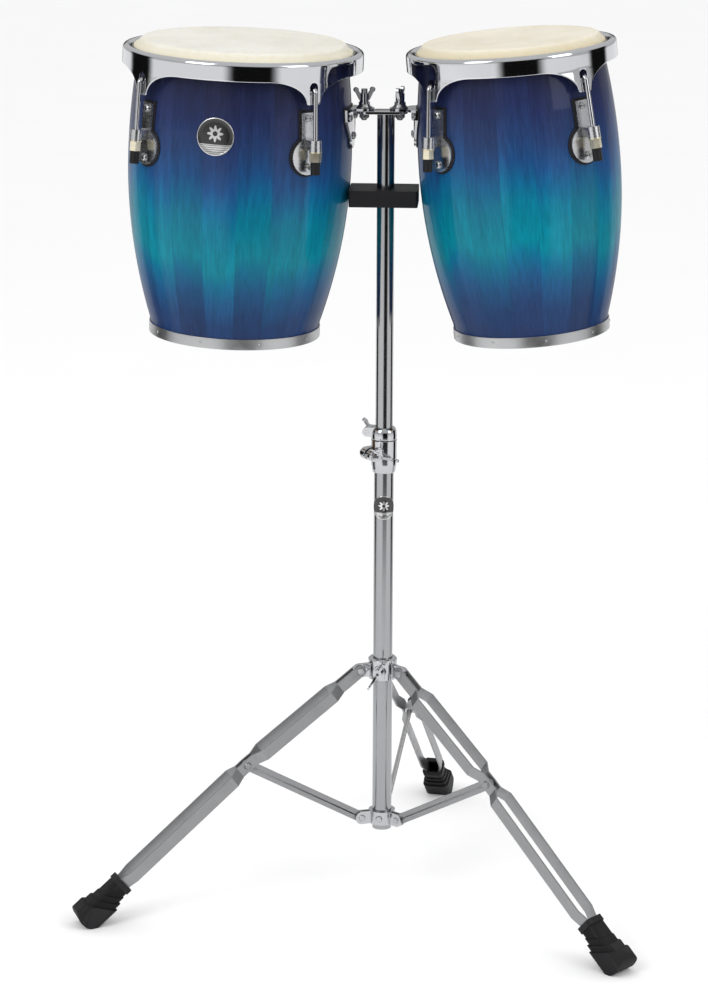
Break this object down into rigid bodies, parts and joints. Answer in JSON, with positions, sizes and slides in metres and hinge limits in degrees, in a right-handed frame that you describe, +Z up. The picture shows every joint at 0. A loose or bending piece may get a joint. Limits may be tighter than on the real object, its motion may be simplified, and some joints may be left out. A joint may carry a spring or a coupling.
{
  "type": "conga drums",
  "caption": "Small barrel-shaped conga drums hung side by side from a telescoping post on a folding, braced tripod stand.",
  "frame": {"origin": "floor level at the middle of the footprint box of the whole set; the post axis stands at x = 42.5 mm, y = -59.1 mm", "axes": "+Z up, +X from the larger drum towards the smaller drum, +Y away from the player"},
  "size_m": [0.7243, 0.7076, 1.1509],
  "materials": {
    "lacquered_wood_left": "blue burst gloss lacquer over staves",
    "lacquered_wood_right": "blue burst gloss lacquer over staves",
    "rawhide": "natural skin, semi-matte",
    "gasket_rubber": "satin",
    "foot_rubber": "matte moulded",
    "bumper_rubber": "satin",
    "nut_brass": "polished",
    "satin_steel": "satin",
    "leg_chrome": "polished",
    "tube_chrome": "polished",
    "badge_enamel": "gloss enamel",
    "nylon": "moulded nylon",
    "plain_steel": "plain",
    "zinc_steel": "bright zinc",
    "black_zinc": "black zinc",
    "chrome": "polished"
  },
  "bodies": {
    "column": {"lower_tube": "tube_chrome", "tube_badge": "badge_enamel", "clamp_body": "chrome", "clamp_bushing": "nylon", "clamp_bolt": "zinc_steel", "memory_lock": "chrome", "lower_collar": "chrome", "collar_pins": "zinc_steel"},
    "clamp_nut": {"clamp_wing_nut": "chrome"},
    "lock_screw": {"memory_wing": "chrome"},
    "post": {"upper_tube": "tube_chrome", "t_plate": "chrome", "t_bolts": "zinc_steel", "bumper_bar": "plain_steel", "bumper_rubber": "bumper_rubber"},
    "t_nut_left": {"wing_nut_left": "chrome"},
    "t_nut_right": {"wing_nut_right": "chrome"},
    "hub": {"hub_collar": "chrome", "hub_pins": "zinc_steel"},
    "hub_screw": {"hub_wing_bolt": "chrome"},
    "leg_left_body": {"leg_left": "leg_chrome", "foot_left": "foot_rubber"},
    "leg_right_body": {"leg_right": "leg_chrome", "foot_right": "foot_rubber"},
    "leg_rear_body": {"leg_rear": "leg_chrome", "foot_rear": "foot_rubber"},
    "brace_left_body": {"brace_left": "leg_chrome"},
    "brace_right_body": {"brace_right": "leg_chrome"},
    "tilt_rod_body": {"tilt_rod": "zinc_steel", "tilt_trunnion": "zinc_steel"},
    "tilt_nut": {"tilt_wing_nut": "black_zinc"},
    "drum_left": {"shell_left": "lacquered_wood_left", "head_left": "rawhide", "flesh_hoop_left": "plain_steel", "rim_left": "chrome", "lugs_left": "chrome", "gaskets_left": "gasket_rubber", "screws_left": "zinc_steel", "hooks_left": "chrome", "band_left": "satin_steel", "bracket_left": "chrome", "badge_left": "badge_enamel"},
    "nut_left_1_body": {"nut_left_1": "nut_brass"},
    "nut_left_2_body": {"nut_left_2": "nut_brass"},
    "nut_left_3_body": {"nut_left_3": "nut_brass"},
    "nut_left_4_body": {"nut_left_4": "nut_brass"},
    "drum_right": {"shell_right": "lacquered_wood_right", "head_right": "rawhide", "flesh_hoop_right": "plain_steel", "rim_right": "chrome", "lugs_right": "chrome", "gaskets_right": "gasket_rubber", "screws_right": "zinc_steel", "hooks_right": "chrome", "band_right": "satin_steel", "bracket_right": "chrome"},
    "nut_right_1_body": {"nut_right_1": "nut_brass"},
    "nut_right_2_body": {"nut_right_2": "nut_brass"},
    "nut_right_3_body": {"nut_right_3": "nut_brass"},
    "nut_right_4_body": {"nut_right_4": "nut_brass"}
  },
  "joints": [
    {"name": "tripod_fold", "type": "slide", "parent": "column", "child": "hub", "axis": [0, 0, 1], "range_m": [0, 0.16635]},
    {"name": "post_height", "type": "slide", "parent": "column", "child": "post", "axis": [0, 0, 1], "range_m": [-0.27, 0.06]},
    {"name": "leg_rear_hinge", "type": "hinge", "parent": "hub", "child": "leg_rear_body", "pos_m": [0.04946, -0.02785, 0.313], "axis": [-0.9763, 0.2164, 0], "range_deg": [-0.2, 48.08]},
    {"name": "leg_left_hinge", "type": "hinge", "parent": "hub", "child": "leg_left_body", "pos_m": [0.01201, -0.06871, 0.313], "axis": [0.3007, -0.9537, 0], "range_deg": [-0.2, 48.08]},
    {"name": "leg_right_hinge", "type": "hinge", "parent": "hub", "child": "leg_right_body", "pos_m": [0.06613, -0.08071, 0.313], "axis": [0.6756, 0.7373, 0], "range_deg": [-0.2, 48.08]},
    {"name": "brace_rear_hinge", "type": "hinge", "parent": "column", "child": "tilt_rod_body", "pos_m": [0.04881, -0.03078, 0.1085], "axis": [0.9763, -0.2164, 0], "range_deg": [-0.2, 53.84]},
    {"name": "brace_left_hinge", "type": "hinge", "parent": "column", "child": "brace_left_body", "pos_m": [0.01487, -0.06781, 0.1085], "axis": [-0.3007, 0.9537, 0], "range_deg": [-0.2, 53.84]},
    {"name": "brace_right_hinge", "type": "hinge", "parent": "column", "child": "brace_right_body", "pos_m": [0.06391, -0.07868, 0.1085], "axis": [-0.6756, -0.7373, 0], "range_deg": [-0.2, 53.84]},
    {"name": "clamp_wing_turn", "type": "hinge", "parent": "column", "child": "clamp_nut", "pos_m": [0.02451, -0.07171, 0.606], "axis": [0.5736, -0.8192, 0], "continuous": true},
    {"name": "lock_wing_turn", "type": "hinge", "parent": "column", "child": "lock_screw", "pos_m": [0.02225, -0.05366, 0.633], "axis": [0.2588, 0.9659, 0], "continuous": true},
    {"name": "hub_wing_turn", "type": "hinge", "parent": "hub", "child": "hub_screw", "pos_m": [0.04253, -0.05909, 0.314], "axis": [-0.2164, -0.9763, 0], "continuous": true},
    {"name": "tilt_nut_turn", "type": "hinge", "parent": "tilt_rod_body", "child": "tilt_nut", "pos_m": [0.04881, -0.03078, 0.1085], "axis": [0.188, 0.8482, 0.4952], "continuous": true},
    {"name": "t_wing_left_turn", "type": "hinge", "parent": "post", "child": "t_nut_left", "pos_m": [0.01513, -0.05909, 1.057], "axis": [0, 0, 1], "continuous": true},
    {"name": "t_wing_right_turn", "type": "hinge", "parent": "post", "child": "t_nut_right", "pos_m": [0.06003, -0.05909, 1.057], "axis": [0, 0, 1], "continuous": true},
    {"name": "drum_left_swivel", "type": "hinge", "parent": "post", "child": "drum_left", "pos_m": [0.01513, -0.05909, 1.049], "axis": [0, 0, 1], "range_deg": [0, 12]},
    {"name": "drum_right_swivel", "type": "hinge", "parent": "post", "child": "drum_right", "pos_m": [0.06003, -0.05909, 1.049], "axis": [0, 0, 1], "range_deg": [-5, 6]},
    {"name": "nut_left_1_turn", "type": "hinge", "parent": "drum_left", "child": "nut_left_1_body", "pos_m": [-0.01378, 0.06765, 1.00539], "axis": [-0.0041, -0.0388, 0.9992], "continuous": true},
    {"name": "nut_left_2_turn", "type": "hinge", "parent": "drum_left", "child": "nut_left_2_body", "pos_m": [-0.23768, 0.09911, 1.01406], "axis": [0.0691, -0.0491, 0.9964], "continuous": true},
    {"name": "nut_left_3_turn", "type": "hinge", "parent": "drum_left", "child": "nut_left_3_body", "pos_m": [-0.26918, -0.12495, 1.01361], "axis": [0.0794, 0.0242, 0.9965], "continuous": true},
    {"name": "nut_left_4_turn", "type": "hinge", "parent": "drum_left", "child": "nut_left_4_body", "pos_m": [-0.04528, -0.15641, 1.00493], "axis": [0.0062, 0.0345, 0.9994], "continuous": true},
    {"name": "nut_right_1_turn", "type": "hinge", "parent": "drum_right", "child": "nut_right_1_body", "pos_m": [0.09359, -0.15413, 1.00881], "axis": [0.0071, 0.0782, 0.9969], "continuous": true},
    {"name": "nut_right_2_turn", "type": "hinge", "parent": "drum_right", "child": "nut_right_2_body", "pos_m": [0.29818, -0.17824, 1.02712], "axis": [-0.1634, 0.0982, 0.9817], "continuous": true},
    {"name": "nut_right_3_turn", "type": "hinge", "parent": "drum_right", "child": "nut_right_3_body", "pos_m": [0.32224, 0.02717, 1.02872], "axis": [-0.1835, -0.0729, 0.9803], "continuous": true},
    {"name": "nut_right_4_turn", "type": "hinge", "parent": "drum_right", "child": "nut_right_4_body", "pos_m": [0.11765, 0.05128, 1.01041], "axis": [-0.013, -0.093, 0.9956], "continuous": true}
  ],
  "couplings": [
    {"joint": "leg_rear_hinge", "follows": "tripod_fold", "rad_per_m": 5.0231},
    {"joint": "leg_left_hinge", "follows": "tripod_fold", "rad_per_m": 5.0231},
    {"joint": "leg_right_hinge", "follows": "tripod_fold", "rad_per_m": 5.0231},
    {"joint": "brace_rear_hinge", "follows": "tripod_fold", "rad_per_m": 5.628},
    {"joint": "brace_left_hinge", "follows": "tripod_fold", "rad_per_m": 5.628},
    {"joint": "brace_right_hinge", "follows": "tripod_fold", "rad_per_m": 5.628}
  ]
}
